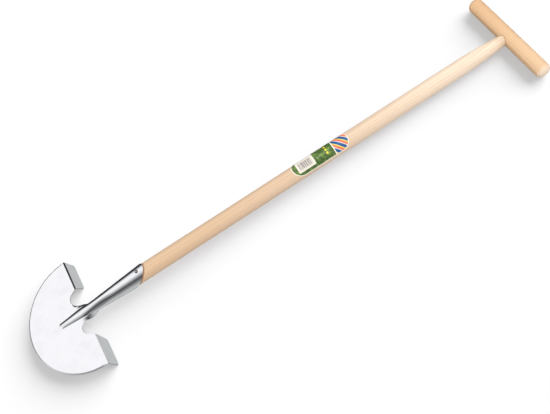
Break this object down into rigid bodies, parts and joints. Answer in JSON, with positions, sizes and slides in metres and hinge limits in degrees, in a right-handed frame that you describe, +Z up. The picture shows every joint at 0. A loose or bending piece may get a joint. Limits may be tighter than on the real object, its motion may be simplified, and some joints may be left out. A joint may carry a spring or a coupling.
{
  "type": "half moon edger",
  "caption": "Lawn edger with a half-round steel blade with folded foot treads, a nailed socket, a straight wooden shaft and a cross grip.",
  "frame": {"origin": "middle of the overall box, on the floor that the tool lies on", "axes": "+X along the shaft from the blade to the grip, +Y across the blade, +Z up, with the ridge side of the blade up"},
  "size_m": [1.0642, 0.23, 0.0487],
  "materials": {
    "steel": "bright plated pressed sheet, smooth",
    "ash": "pale sanded ash, clear lacquer",
    "grip_wood": "warm turned wood, clear lacquer",
    "wedge_wood": "darker hardwood wedge, end grain",
    "nail_steel": "bright round-head nail",
    "label_film": null,
    "sticker_paper": "matt pale paper with plain bars"
  },
  "bodies": {
    "root": {"head": "steel", "shaft": "ash", "grip": "grip_wood", "tenon_wedge": "wedge_wood", "socket_nail": "nail_steel", "label": "label_film", "price_sticker": "sticker_paper"}
  },
  "joints": []
}
